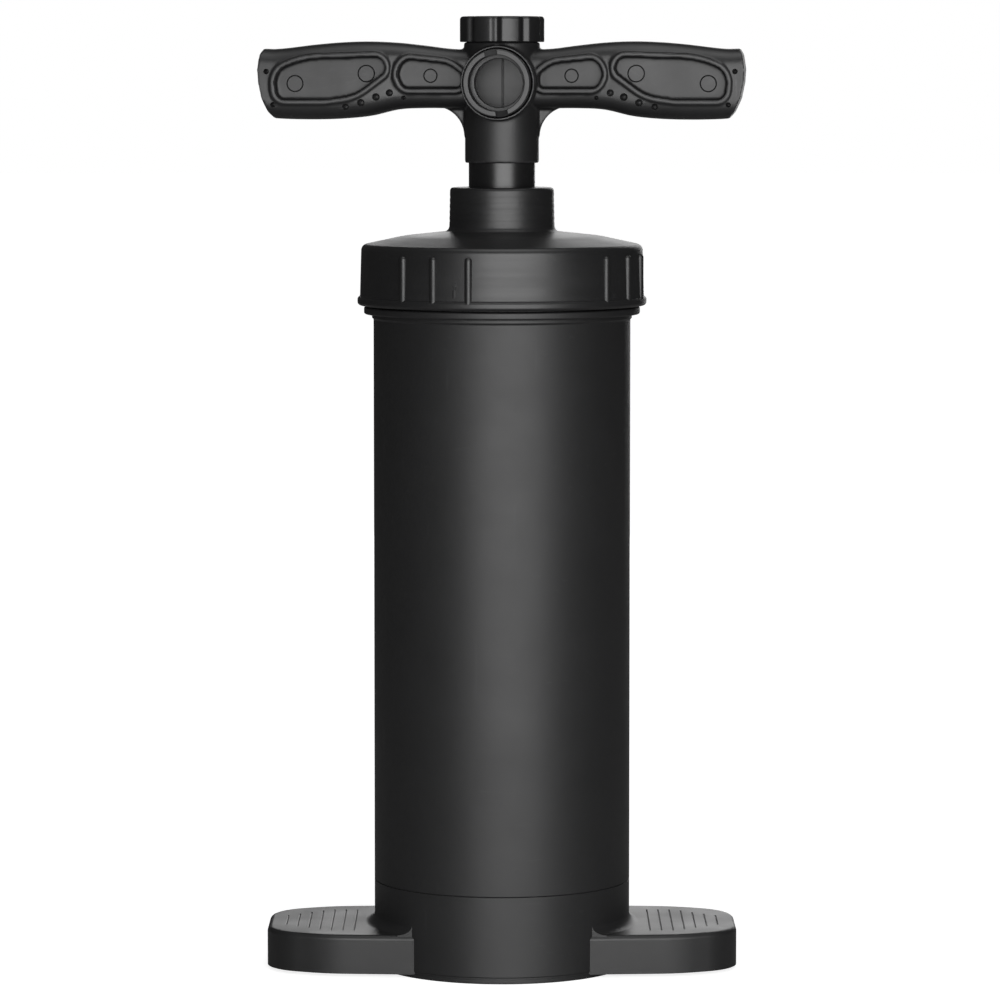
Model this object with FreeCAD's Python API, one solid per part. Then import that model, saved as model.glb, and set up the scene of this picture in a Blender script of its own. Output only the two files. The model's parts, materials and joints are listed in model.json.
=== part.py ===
"""Stand-on hand pump: barrel on a foot base, screw cap, hollow rod with a two-way piston, T-handle.

Millimetres. +Z is up, the origin is the middle of the base on the ground, and the pump's front,
where the hose plugs in, faces -Y. The plunger is drawn fully down, on its stop.
"""

import FreeCAD
import Part

import math
import os

from FreeCAD import Vector

# ---------------------------------------------------------------- driving dimensions

# barrel and base
barrel_radius = 64.8
barrel_wall = 3.0
barrel_top = 352.0
base_height = 43.5
floor_top = 12.0
floor_thickness = 4.0
lap_height = 15.5
gasket_thickness = 1.6

# feet
foot_length = 54.0
foot_height = 19.7
foot_lift = 1.8
foot_half_depth_at_axis = 50.5
foot_half_depth_at_shoulder = 44.5
foot_half_depth_at_end = 32.0
foot_shoulder = 23.2
foot_shoulder_radius = 60.0
foot_corner_radius = 25.0
foot_edge_radius = 4.5
foot_wall = 3.0
foot_root_radius = 2.2
tread_count = 7
tread_pitch = 5.8
tread_start = 9.8
tread_half_length = 32.0
tread_width = 1.3
tread_depth = 0.9
rib_thickness = 2.4
rib_ground_gap = 1.0

# barrel neck and screw cap
flange_lip = 4.8
flange_thickness = 3.6
neck_step = 0.8
neck_length = 17.6
thread_height = 1.7
thread_width = 2.0
thread_pitch = 5.0
thread_room = 1.1
cap_gap = 0.8
cap_wall = 3.3
cap_draft = 0.8
cap_shoulder_rise = 9.5
cap_roof = 3.0
dome_rise = 11.1
bead_lip = 1.2
bead_height = 4.3
cap_rib_radius = 1.3
cap_rib_drop = 3.5
cap_rib_groups = 4
cap_rib_step = 15.0
cap_rib_phase = -28.5
collar_wall = 5.35
collar_height = 21.8

# rod, its guide and its seal
rod_radius = 16.75
rod_wall = 2.0
bush_wall = 4.1
bush_length = 19.5
boss_wall = 3.6
lip_thickness = 2.5
rod_seal_height = 8.0
retainer_height = 3.0
stop_ring_height = 4.0
tube_radius = 9.0
tube_wall = 1.6

# piston
piston_gap = 1.0
plate_thickness = 3.0
suction_gallery = 7.0
pressure_gallery = 8.0
sleeve_height = 16.0
sleeve_wall = 3.7
rim_thickness = 3.0
seal_height = 5.0
port_hole_radius = 2.8
ports_per_ring = 6
suction_low_circle = 20.0
pressure_low_circle = 30.0
pressure_high_circle = 38.0
suction_high_circle = 50.0
screw_circle = 53.0
pipe_wall = 1.3
flap_half_width = 5.6
flap_thickness = 1.2
flap_travel = 2.0
peg_radius = 1.2
peg_head_radius = 2.3
peg_head_height = 1.0
pegs_per_flap = 3
screw_radius = 1.5
screw_head_radius = 2.9
screw_head_height = 1.8
buffer_height = 4.5
buffer_width = 10.0
buffer_inset = 11.8

# handle, with heights measured from the hose ports' axis where they belong to the arms
handle_turn = -5.0
handle_clearance = 12.2
boss_cover = 1.9
hub_wall = 1.8
hub_step = 0.5
hub_sleeve_length = 25.0
socket_depth = 19.4
rod_shoulder = 1.15
port_rise = 40.1
arm_reach = 122.4
arm_half_depth = 14.4
arm_edge_radius = 8.5
arm_end_radius = 1.6
web_half = 6.0
mark_depth = 0.4
pit_floor = 10.0
gusset_half = 2.0
gusset_radius = 14.9
gusset_reach = 15.4
gusset_foot = 13.4
port_reach = 34.0
port_wall = 3.0
port_bore = 14.0
port_depth = 14.0
port_step = 1.9
boss_lip = 1.4
boss_reach = 27.0
bayonet_lip = 3.0
bayonet_groove = 4.0
bayonet_groove_depth = 1.6
bayonet_slot = 6.2
bayonet_tilt = 10.0
divider_wall_y = 5.0
divider_thickness = 3.0
divider_shelf = 2.0
divider_channel = 4.5
divider_skin = 1.6

# vent cap
vent_neck_wall = 4.5
vent_neck_height = 8.5
vent_bore = 12.5
vent_roof = 6.0
vent_cap_radius = 21.3
vent_cap_height = 13.0
vent_washer_thickness = 1.5
vent_lobes = 10
vent_scallop_radius = 3.0
vent_scallop_depth = 1.3
vent_lobe_phase = 14.3

# clearances
fit = 0.05
slide_fit = 0.1
free_fit = 0.35
rest_gap = 0.2

# ---------------------------------------------------------------- sizes that follow

bore_radius = barrel_radius - barrel_wall
lap_radius = barrel_radius - barrel_wall / 2
barrel_bottom = base_height - lap_height
foot_reach = barrel_radius + foot_length
foot_shoulder_x = barrel_radius + foot_shoulder

flange_radius = barrel_radius + flange_lip
flange_high = barrel_top - neck_length
flange_low = flange_high - flange_thickness
neck_radius = barrel_radius + neck_step
thread_radius = neck_radius + thread_height
gasket_top = barrel_top + 2.0
cap_inner_radius = thread_radius + thread_room
cap_radius_low = cap_inner_radius + cap_wall
cap_radius_high = cap_radius_low - cap_draft
cap_bottom = flange_high + cap_gap
cap_shoulder = barrel_top + cap_shoulder_rise
dome_top = cap_shoulder + dome_rise
bead_radius = cap_radius_low + bead_lip
collar_top = dome_top + collar_height

bush_radius = rod_radius + bush_wall
collar_radius = bush_radius + collar_wall
boss_wall_radius = bush_radius + boss_wall
bush_top = collar_top - lip_thickness
bush_bottom = bush_top - bush_length
rod_seal_bottom = bush_bottom - rod_seal_height
retainer_bottom = rod_seal_bottom - retainer_height
stop_ring_bottom = retainer_bottom - stop_ring_height

piston_radius = bore_radius - piston_gap
piston_bottom = floor_top + buffer_height + rest_gap
middle_bottom = piston_bottom + plate_thickness + suction_gallery
middle_top = middle_bottom + plate_thickness
top_plate_bottom = middle_top + pressure_gallery
piston_top = top_plate_bottom + plate_thickness
sleeve_top = piston_top + sleeve_height
seal_middle = (middle_bottom + middle_top) / 2
seal_inner_radius = piston_radius - rim_thickness
buffer_radius = bore_radius - buffer_inset

hub_bottom = collar_top + handle_clearance
hub_radius = rod_radius + fit + hub_wall
port_height = hub_bottom + port_rise
port_radius = port_bore + port_wall
port_throat = port_bore - port_step
boss_radius = port_radius + boss_lip
bayonet_groove_radius = port_bore + bayonet_groove_depth
hub_top = port_height + boss_radius + boss_cover
rod_bottom = top_plate_bottom + plate_thickness / 2
rod_top = hub_bottom + socket_depth
chamber_bottom = rod_top
chamber_radius = rod_radius - rod_shoulder
chamber_top = hub_top - vent_roof
vent_neck_radius = vent_bore + vent_neck_wall
vent_neck_top = hub_top + vent_neck_height


# ---------------------------------------------------------------- helpers


def in_section(u, v):
    """A profile point at radius u and height v, ready to be revolved about Z."""
    return Vector(u, 0, v)


def in_plan(u, v):
    """A point of an outline seen from above."""
    return Vector(u, v, 0)


def from_front(u, v):
    """A point of an arm's outline seen from the front, with v counted from the ports' axis."""
    return Vector(u, 0, port_height + v)


def rounded_face(corners, place):
    """A face from corners (u, v) or (u, v, radius). Each radius becomes a tangent arc."""
    points = [place(c[0], c[1]) for c in corners]
    radii = [c[2] if len(c) > 2 else 0 for c in corners]
    entries, exits, middles = [], [], []
    for i, corner in enumerate(points):
        back = (points[i - 1] - corner).normalize()
        ahead = (points[(i + 1) % len(points)] - corner).normalize()
        half = back.getAngle(ahead) / 2
        if radii[i] == 0:
            entries.append(corner)
            exits.append(corner)
            middles.append(None)
            continue
        reach = radii[i] / math.tan(half)
        entries.append(corner + back * reach)
        exits.append(corner + ahead * reach)
        inward = (back + ahead).normalize()
        middles.append(corner + inward * (radii[i] / math.sin(half) - radii[i]))
    edges = []
    for i in range(len(points)):
        if middles[i] is not None:
            edges.append(Part.Arc(entries[i], middles[i], exits[i]).toShape())
        following = entries[(i + 1) % len(points)]
        if exits[i].distanceToPoint(following) > 1e-6:
            edges.append(Part.LineSegment(exits[i], following).toShape())
    return Part.Face(Part.Wire(edges))


def turned(corners):
    """A solid of revolution about Z."""
    face = rounded_face(corners, in_section)
    return face.revolve(Vector(0, 0, 0), Vector(0, 0, 1), 360)


def post(radius, low, high, x=0, y=0):
    """An upright cylinder."""
    return Part.makeCylinder(radius, high - low, Vector(x, y, low))


def box(x, y, z):
    """A box from three pairs of limits."""
    return Part.makeBox(x[1] - x[0], y[1] - y[0], z[1] - z[0], Vector(x[0], y[0], z[0]))


def ring(outer, inner, low, high):
    """An upright tube about the Z axis."""
    return post(outer, low, high).cut(post(inner, low - 1, high + 1))


def around(circle, count, phase=0.0):
    """Evenly spaced places (x, y) on a circle."""
    turns = [math.radians(phase + 360 * i / count) for i in range(count)]
    return [(circle * math.cos(t), circle * math.sin(t)) for t in turns]


def facing(radius, degrees):
    """A place at that angle from the front, positive towards +X."""
    t = math.radians(degrees)
    return radius * math.sin(t), -radius * math.cos(t)


def joined(shapes):
    """One solid from overlapping shapes."""
    return shapes[0].multiFuse(shapes[1:]).removeSplitter()


def mirrored_x(shape):
    return shape.mirror(Vector(0, 0, 0), Vector(1, 0, 0))


def mirrored_y(shape):
    return shape.mirror(Vector(0, 0, 0), Vector(0, 1, 0))


def rounded_edges(shape, radius, wanted):
    """Fillets the edges for which wanted(edge) is true."""
    return shape.makeFillet(radius, [e for e in shape.Edges if wanted(e)])


def save(name, shape, turn=0.0):
    """Writes one sub-part, turned about the barrel's axis."""
    placed = shape.copy()
    placed.rotate(Vector(0, 0, 0), Vector(0, 0, 1), turn)
    placed.exportStep(os.path.join("parts", name + ".step"))


# ---------------------------------------------------------------- base


def feet_block(inset, low, high):
    """Both feet as one block, its outline moved in by inset."""
    quarter = [
        (foot_reach, foot_half_depth_at_end, foot_corner_radius),
        (foot_shoulder_x, foot_half_depth_at_shoulder, foot_shoulder_radius),
        (0, foot_half_depth_at_axis),
    ]
    left = [(-c[0], *c[1:]) for c in quarter[-2::-1]]
    back = quarter + left
    front = [(-c[0], -c[1], *c[2:]) for c in back]
    face = rounded_face(back + front, in_plan)
    if inset > 0:
        face = face.makeOffset2D(-inset)
    face.translate(Vector(0, 0, low))
    return face.extrude(Vector(0, 0, high - low))


def make_foot_base():
    feet = feet_block(0, foot_lift, foot_height)
    feet = rounded_edges(
        feet,
        foot_edge_radius,
        lambda e: e.BoundBox.ZMin > foot_height - 0.01,
    )
    body = joined([feet, post(barrel_radius, 0, base_height)])
    body = rounded_edges(
        body,
        foot_root_radius,
        lambda e: e.BoundBox.ZMin > foot_height - 0.01
        and e.BoundBox.ZMax < foot_height + 0.01
        and abs(math.hypot(e.CenterOfMass.x, e.CenterOfMass.y)) < barrel_radius
        and math.hypot(e.Vertexes[0].X, e.Vertexes[0].Y) > barrel_radius - 0.01
        and e.Curve.TypeId == "Part::GeomCircle",
    )
    # cup for the barrel
    cup = post(bore_radius, floor_top, base_height)
    lap = post(lap_radius, barrel_bottom - gasket_thickness, base_height)
    body = body.cut(joined([cup, lap]))
    # hollow underside with ribs
    hollow = feet_block(foot_wall, 0, foot_height - foot_wall)
    hollow = hollow.cut(post(barrel_radius, 0, foot_height))
    hollow = hollow.fuse(post(bore_radius - 1, 0, floor_top - floor_thickness))
    half = rib_thickness / 2
    rib_low = foot_lift + rib_ground_gap
    ribs = [box((-foot_reach, foot_reach), (-half, half), (rib_low, foot_height))]
    foot_middle = barrel_radius + foot_length / 2
    for x in (0.0, barrel_radius / 2, foot_middle - foot_length / 6, foot_middle + foot_length / 6):
        rib = box((x - half, x + half), (-barrel_radius, barrel_radius), (rib_low, foot_height))
        ribs += [rib, mirrored_x(rib)]
    body = body.cut(hollow.cut(joined(ribs)))
    # treads, shorter where the foot's corners begin
    grooves = []
    for i in range(tread_count):
        x = barrel_radius + tread_start + i * tread_pitch
        length = tread_half_length - 0.8 * max(0.0, x - foot_shoulder_x)
        groove = box(
            (x - tread_width / 2, x + tread_width / 2),
            (-length, length),
            (foot_height - tread_depth, foot_height + tread_depth),
        )
        grooves += [groove, mirrored_x(groove)]
    return body.cut(Part.makeCompound(grooves))


def make_base_gasket():
    low = barrel_bottom - gasket_thickness
    return ring(lap_radius - fit, bore_radius + fit, low, barrel_bottom)


def make_floor_buffer():
    outer = buffer_radius
    inner = buffer_radius - buffer_width
    top = floor_top + buffer_height
    return turned(
        [(inner, floor_top), (outer, floor_top), (outer, top, 1.0), (inner, top, 1.0)]
    )


# ---------------------------------------------------------------- barrel and screw cap


def thread_heights(first, limit):
    """The undersides of the thread rings between two heights."""
    count = int((limit - thread_width - first) / thread_pitch) + 1
    return [first + i * thread_pitch for i in range(count)]


def make_barrel():
    outline = [
        (bore_radius, barrel_bottom),
        (lap_radius - fit, barrel_bottom),
        (lap_radius - fit, base_height),
        (barrel_radius, base_height),
        (barrel_radius, flange_low, 0.8),
        (flange_radius, flange_low, 1.2),
        (flange_radius, flange_high, 1.2),
        (neck_radius, flange_high),
        (neck_radius, barrel_top, 0.6),
        (bore_radius, barrel_top),
    ]
    threads = []
    for low in thread_heights(flange_high + thread_pitch / 2, barrel_top - thread_width):
        threads.append(ring(thread_radius, neck_radius - 0.5, low, low + thread_width))
    return joined([turned(outline)] + threads)


def make_cap_gasket():
    return ring(neck_radius - fit, bore_radius + fit, barrel_top, gasket_top)


def cap_rib(degrees):
    """An upright half-round rib with a domed top."""
    x, y = facing(cap_radius_low - 0.5, degrees)
    top = cap_shoulder - cap_rib_drop - cap_rib_radius
    shaft = post(cap_rib_radius, cap_bottom + bead_height / 2, top, x, y)
    return shaft.fuse(Part.makeSphere(cap_rib_radius, Vector(x, y, top)))


def make_screw_cap():
    pocket = bush_radius + fit
    haunch = cap_radius_high - 21.0
    haunch_height = dome_top - 2.7
    bead_top = cap_bottom + bead_height
    outline = [
        (rod_radius + free_fit, collar_top, 0.4),
        (collar_radius, collar_top, 1.8),
        (collar_radius, collar_top - 10.5, 0.1),
        (collar_radius + 0.2, collar_top - 10.9, 0.1),
        (collar_radius + 0.3, dome_top, 2.5),
        (haunch, haunch_height, 60.0),
        (cap_radius_high, cap_shoulder + 4.0, 3.2),
        (cap_radius_low, bead_top, 0.5),
        (bead_radius, bead_top, 1.8),
        (bead_radius, cap_bottom, 1.8),
        (cap_inner_radius, cap_bottom),
        (cap_inner_radius, gasket_top),
        (bore_radius + fit, gasket_top),
        (bore_radius + fit, cap_shoulder - 1.0, 4.0),
        (haunch, haunch_height - cap_roof, 40.0),
        (boss_wall_radius, dome_top - cap_roof),
        (boss_wall_radius, retainer_bottom),
        (pocket, retainer_bottom),
        (pocket, bush_top),
        (rod_radius + free_fit, bush_top),
    ]
    threads = []
    inner = thread_radius - thread_room
    for low in thread_heights(flange_high + thread_pitch, barrel_top):
        threads.append(ring(cap_inner_radius + 0.5, inner, low, low + thread_width))
    ribs = []
    for group in range(cap_rib_groups):
        middle = cap_rib_phase + group * 360 / cap_rib_groups
        ribs += [cap_rib(middle + i * cap_rib_step) for i in (-1, 0, 1)]
    # index mark: a short bar with a dot above it
    x, y = facing(cap_radius_low - 0.1, cap_rib_phase + 0.6 * cap_rib_step)
    bar = post(0.55, bead_top + 2.0, bead_top + 6.0, x, y)
    dot = Part.makeSphere(0.7, Vector(x, y, bead_top + 8.0))
    return joined([turned(outline), bar, dot] + threads + ribs)


def make_rod_bush():
    return ring(bush_radius, rod_radius + slide_fit, bush_bottom, bush_top)


def make_rod_seal():
    """Lip seal: a solid ring whose inner lip opens downwards."""
    outer = bush_radius
    inner = rod_radius + fit
    low, high = rod_seal_bottom, bush_bottom
    return turned(
        [
            (inner + 1.4, high),
            (outer, high),
            (outer, low),
            (outer - 1.2, low),
            (outer - 1.2, high - 3.0, 0.5),
            (inner + 1.2, high - 3.0, 0.5),
            (inner + 1.0, low + 1.0),
            (inner, low + 1.0),
            (inner, low + 2.5),
            (inner + 0.6, high - 2.0),
        ]
    )


def make_seal_retainer():
    return ring(bush_radius, rod_radius + free_fit, retainer_bottom, rod_seal_bottom)


def make_stop_ring():
    inner = rod_radius + 2 * free_fit
    outer = boss_wall_radius
    low, high = stop_ring_bottom, retainer_bottom
    return turned([(inner, high), (outer, high), (outer, low, 1.2), (inner, low, 1.2)])


# ---------------------------------------------------------------- piston


def pegs(circle, face, up):
    """Headed pegs that hold a flap, standing up or hanging down from face."""
    reach = flap_thickness + flap_travel
    shapes = []
    for x, y in around(circle, pegs_per_flap, 30):
        if up:
            stem = post(peg_radius, face - 0.5, face + reach, x, y)
            head = post(peg_head_radius, face + reach, face + reach + peg_head_height, x, y)
        else:
            stem = post(peg_radius, face - reach, face + 0.5, x, y)
            head = post(peg_head_radius, face - reach - peg_head_height, face - reach, x, y)
        shapes += [stem, head]
    return shapes


def drilled(shape, circle, radius, phase=0.0):
    """Upright holes right through the piston's height."""
    holes = [
        post(radius, piston_bottom - 10, sleeve_top + 10, x, y)
        for x, y in around(circle, ports_per_ring, phase)
    ]
    return shape.cut(Part.makeCompound(holes))


def make_piston_bottom():
    seat = seal_middle - seal_height / 2 - fit
    outline = [
        (0, piston_bottom),
        (piston_radius, piston_bottom, 0.8),
        (piston_radius, seat),
        (seal_inner_radius, seat),
        (seal_inner_radius - rim_thickness, seat),
        (seal_inner_radius - rim_thickness, piston_bottom + plate_thickness),
        (0, piston_bottom + plate_thickness),
    ]
    plate = turned(outline)
    plate = drilled(plate, suction_low_circle, port_hole_radius)
    plate = drilled(plate, pressure_low_circle, port_hole_radius)
    plate = drilled(plate, screw_circle, screw_radius + 0.2, 30)
    recess = [
        post(screw_head_radius + slide_fit, piston_bottom - 1, piston_bottom + screw_head_height, x, y)
        for x, y in around(screw_circle, ports_per_ring, 30)
    ]
    plate = plate.cut(Part.makeCompound(recess))
    return joined([plate] + pegs(suction_low_circle, piston_bottom, False))


def make_piston_middle():
    """The plate between the two galleries, with the pipes that cross them."""
    disc = post(seal_inner_radius - fit, middle_bottom, middle_top)
    pipe = port_hole_radius + pipe_wall
    pipes = []
    for x, y in around(pressure_low_circle, ports_per_ring):
        pipes.append(post(pipe, piston_bottom + plate_thickness, middle_bottom, x, y))
    for x, y in around(suction_high_circle, ports_per_ring):
        pipes.append(post(pipe, middle_top, top_plate_bottom, x, y))
    disc = joined([disc] + pipes)
    disc = drilled(disc, pressure_low_circle, port_hole_radius)
    disc = drilled(disc, suction_high_circle, port_hole_radius)
    disc = drilled(disc, screw_circle, screw_radius + 0.2, 30)
    disc = disc.cut(post(tube_radius + fit, middle_bottom - 1, middle_top + 1))
    return joined([disc] + pegs(pressure_low_circle, middle_top, True))


def make_piston_top():
    seat = seal_middle + seal_height / 2 + fit
    socket = rod_radius + fit
    outline = [
        (rod_radius - rod_wall, top_plate_bottom),
        (seal_inner_radius - rim_thickness, top_plate_bottom),
        (seal_inner_radius - rim_thickness, seat),
        (piston_radius, seat),
        (piston_radius, piston_top, 0.8),
        (socket + sleeve_wall, piston_top, 1.5),
        (socket + sleeve_wall, sleeve_top, 1.0),
        (socket, sleeve_top),
        (socket, rod_bottom),
        (rod_radius - rod_wall, rod_bottom),
    ]
    plate = turned(outline)
    bosses = [
        post(screw_radius + 1.6, middle_top, top_plate_bottom + 0.5, x, y)
        for x, y in around(screw_circle, ports_per_ring, 30)
    ]
    plate = joined([plate] + bosses)
    plate = drilled(plate, suction_high_circle, port_hole_radius)
    plate = drilled(plate, pressure_high_circle, port_hole_radius)
    pilots = [
        post(screw_radius + fit, middle_top - 1, piston_top - 1, x, y)
        for x, y in around(screw_circle, ports_per_ring, 30)
    ]
    plate = plate.cut(Part.makeCompound(pilots))
    hung = pegs(pressure_high_circle, top_plate_bottom, False)
    standing = pegs(suction_high_circle, piston_top, True)
    return joined([plate] + hung + standing)


def make_piston_screws():
    screws = []
    head_top = piston_bottom + screw_head_height
    for x, y in around(screw_circle, ports_per_ring, 30):
        head = post(screw_head_radius, piston_bottom, head_top, x, y)
        shank = post(screw_radius, head_top, piston_top - 1.2, x, y)
        slot = Part.makeBox(1.0, 4.0, 0.8, Vector(x - 0.5, y - 2.0, piston_bottom))
        cross = Part.makeBox(4.0, 1.0, 0.8, Vector(x - 2.0, y - 0.5, piston_bottom))
        screws.append(head.fuse(shank).cut(slot).cut(cross))
    return Part.makeCompound(screws)


def make_flap(circle, low):
    """A flat rubber ring that covers one circle of ports."""
    flap = ring(circle + flap_half_width, circle - flap_half_width, low, low + flap_thickness)
    holes = [
        post(peg_radius + free_fit, low - 1, low + flap_thickness + 1, x, y)
        for x, y in around(circle, pegs_per_flap, 30)
    ]
    return flap.cut(Part.makeCompound(holes))


def make_piston_seal():
    """Double-lipped ring between the piston's plates."""
    inner = seal_inner_radius + fit
    outer = bore_radius - slide_fit
    low = seal_middle - seal_height / 2
    high = seal_middle + seal_height / 2
    return turned(
        [
            (inner, low),
            (piston_radius + free_fit, low),
            (outer, low - 1.2),
            (outer, low + 1.2),
            (outer - 0.9, seal_middle),
            (outer, high - 1.2),
            (outer, high + 1.2),
            (piston_radius + free_fit, high),
            (inner, high),
        ]
    )


def make_piston_rod():
    return ring(rod_radius, rod_radius - rod_wall, rod_bottom, rod_top)


def make_inner_tube():
    low = middle_bottom - suction_gallery / 2
    return ring(tube_radius, tube_radius - tube_wall, low, chamber_bottom)


# ---------------------------------------------------------------- handle

# outline of one arm seen from the front, from inside the hub to past its end
arm_outline = [
    (6.0, 17.0),
    (27.0, 17.0, 60.0),
    (66.0, 22.0, 90.0),
    (112.0, 16.7, 30.0),
    (140.0, 19.3),
    (140.0, -15.1),
    (80.0, -19.0, 70.0),
    (52.0, -12.3, 60.0),
    (6.0, -12.7),
]
large_pocket = [
    (56.6, 15.0, 6.5),
    (102.5, 13.6, 15.0),
    (115.2, 5.3, 6.0),
    (113.6, -8.5, 5.0),
    (87.0, -8.5, 24.0),
    (58.0, 2.9, 5.0),
]
small_pocket = [
    (17.6, -2.8, 4.5),
    (49.0, -2.8, 6.0),
    (52.9, 5.9, 5.5),
    (48.5, 13.8, 5.0),
    (24.5, 10.5, 8.0),
    (17.6, 4.8, 4.0),
]
ejector_marks = [(35.6, 3.7, 3.3), (68.5, 4.8, 4.1), (104.6, -0.2, 4.0)]
pits = [
    (47.2, -7.2, 1.5),
    (54.5, -5.1, 2.1),
    (61.6, -7.2, 2.1),
    (68.9, -9.8, 2.1),
    (77.3, -11.6, 1.9),
    (118.0, 5.7, 1.5),
    (114.4, -10.9, 1.5),
]


def arm_end():
    """Everything inboard of the grip's bulging end, as a block."""
    top = from_front(arm_reach - 2.4, 21.3)
    heel = from_front(arm_reach - 3.6, -9.7)
    bulge = Part.Arc(top, from_front(arm_reach, 6.3), heel).toShape()
    corners = [
        heel,
        from_front(arm_reach - 11.0, -20.7),
        from_front(0, -20.7),
        from_front(0, 28.3),
        from_front(arm_reach - 2.4, 28.3),
        top,
    ]
    sides = [Part.LineSegment(*pair).toShape() for pair in zip(corners, corners[1:])]
    face = Part.Face(Part.Wire([bulge] + sides))
    face.translate(Vector(0, -2 * arm_half_depth, 0))
    return face.extrude(Vector(0, 4 * arm_half_depth, 0))


def make_arm():
    face = rounded_face(arm_outline, from_front)
    face.translate(Vector(0, -arm_half_depth, 0))
    arm = face.extrude(Vector(0, 2 * arm_half_depth, 0))
    ends = (arm_outline[0][0], arm_outline[4][0])
    arm = rounded_edges(
        arm,
        arm_edge_radius,
        lambda e: e.BoundBox.YLength < 0.01 and min(abs(e.CenterOfMass.x - x) for x in ends) > 0.01,
    )
    arm = arm.common(arm_end())
    return rounded_edges(arm, arm_end_radius, lambda e: e.BoundBox.XMin > arm_reach - 13.5)


def pocket_block(outline, floor, outside=30.0):
    face = rounded_face(outline, from_front)
    face.translate(Vector(0, -outside, 0))
    return face.extrude(Vector(0, outside - floor, 0))


def pocketed(arm):
    """Cuts the pockets on both sides."""
    for outline in (large_pocket, small_pocket):
        block = pocket_block(outline, web_half)
        arm = arm.cut(block).cut(mirrored_y(block))
    return arm


def gusset():
    """The thin web between the grip's underside and the hub."""
    near, far = hub_radius - 3.0, hub_radius + gusset_reach
    low, high = gusset_foot - port_rise, arm_outline[-1][1] + 2.0
    face = rounded_face([(near, high), (far, high), (far, low), (near, low)], from_front)
    face.translate(Vector(0, -gusset_half, 0))
    scoop = across(gusset_radius, -2 * gusset_half, 2 * gusset_half, far, low)
    return face.extrude(Vector(0, 2 * gusset_half, 0)).cut(scoop)


def across(radius, start, finish, x=0.0, rise=0.0):
    """A cylinder that runs from front to back, its height counted from the ports' axis."""
    corner = Vector(x, start, port_height + rise)
    return Part.makeCylinder(radius, finish - start, corner, Vector(0, 1, 0))


def on_each_side(shape):
    """The shape and its three mirror images, for both arms and both faces."""
    back = mirrored_y(shape)
    return [shape, mirrored_x(shape), back, mirrored_x(back)]


def make_handle():
    arm = pocketed(make_arm())
    hub = turned(
        [
            (0, hub_bottom),
            (hub_radius, hub_bottom, 0.8),
            (hub_radius, hub_bottom + hub_sleeve_length),
            (hub_radius + hub_step, port_height),
            (hub_radius + hub_step, hub_top, 0.5),
            (vent_neck_radius, hub_top),
            (vent_neck_radius, vent_neck_top, 0.6),
            (0, vent_neck_top),
        ]
    )
    boss = across(boss_radius, -boss_reach, boss_reach)
    web = gusset()
    body = joined([hub, boss, arm, mirrored_x(arm), web, mirrored_x(web)])
    port_seat = port_reach - port_depth
    inside = [
        post(rod_radius + fit, hub_bottom - 1, rod_top),
        post(chamber_radius, chamber_bottom - 1, chamber_top),
        post(vent_bore, chamber_top - 1, vent_neck_top + 1),
        across(port_throat, -boss_reach - 1, boss_reach + 1),
        across(port_radius + fit, -boss_reach - 1, -port_seat),
        across(port_radius + fit, port_seat, boss_reach + 1),
    ]
    body = body.cut(joined(inside))
    cuts = []
    for x, rise, radius in pits:
        cuts += on_each_side(across(radius, -2 * arm_half_depth, -pit_floor, x, rise))
    for x, rise, radius in ejector_marks:
        cuts += on_each_side(across(radius, -web_half - 1, mark_depth - web_half, x, rise))
    return body.cut(Part.makeCompound(cuts))


def make_port():
    """Bayonet socket for the hose: two slots at the front and a groove behind the lip."""
    start = -port_reach
    body = across(port_radius, start, start + port_depth)
    body = rounded_edges(
        body, 0.6, lambda e: abs(e.CenterOfMass.y - start) < 0.01 and e.Curve.TypeId == "Part::GeomCircle"
    )
    body = body.cut(across(port_bore, start - 1, start + port_depth + 1))
    groove_start = start + bayonet_lip
    body = body.cut(across(bayonet_groove_radius, groove_start, groove_start + bayonet_groove))
    slot = Part.makeBox(
        bayonet_slot,
        bayonet_lip + bayonet_groove,
        2 * port_radius + 2,
        Vector(-bayonet_slot / 2, start, port_height - port_radius - 1),
    )
    slot.rotate(Vector(0, 0, port_height), Vector(0, 1, 0), -bayonet_tilt)
    return body.cut(slot)


def make_air_divider():
    """Keeps the pressure side, open to the front, apart from the suction side behind it."""
    wide = chamber_radius - fit
    low = chamber_bottom
    shelf_top = low + divider_shelf
    roof_bottom = shelf_top + divider_channel
    roof_top = roof_bottom + divider_skin
    wall_top = port_height + port_throat - 1.0
    wall_front, wall_back = divider_wall_y, divider_wall_y + divider_thickness
    hood = tube_radius + 2.0
    side = (-wide, wide)
    body = joined(
        [
            post(wide, low, shelf_top),
            box(side, (wall_front, wall_back), (shelf_top, wall_top)),
            box(side, (wall_front, wall_front + wide), (wall_top - divider_skin, wall_top)),
            box((-0.8, 0.8), (wall_front - 0.8, wall_front + 0.2), (roof_top, wall_top)),
            box((-hood, hood), (-hood, wall_back), (low, roof_top)),
        ]
    )
    # channel for the suction air, from the inner tube to the back
    channel = hood - divider_skin
    body = body.cut(box((-channel, channel), (-channel, wall_back + 3.0), (shelf_top, roof_bottom)))
    body = body.cut(post(tube_radius - tube_wall, low - 1, shelf_top + 1))
    # windows in the shelf for the pressure air, round the front and both sides
    window = ring(wide - 1.2, hood * math.sqrt(2), low - 1, shelf_top + 0.5)
    body = body.cut(window.common(box(side, (-wide, 0), (low - 2, shelf_top + 2))))
    beside = post(wide - 1.2, low - 1, shelf_top + 1)
    beside = beside.common(box(side, (4.0 - wide, wall_front - 1.0), (low - 2, shelf_top + 2)))
    beside = beside.cut(box((-hood, hood), side, (low - 3, shelf_top + 3)))
    body = body.cut(beside)
    return body.common(post(wide, low - 1, hub_top))


# ---------------------------------------------------------------- vent cap


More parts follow.
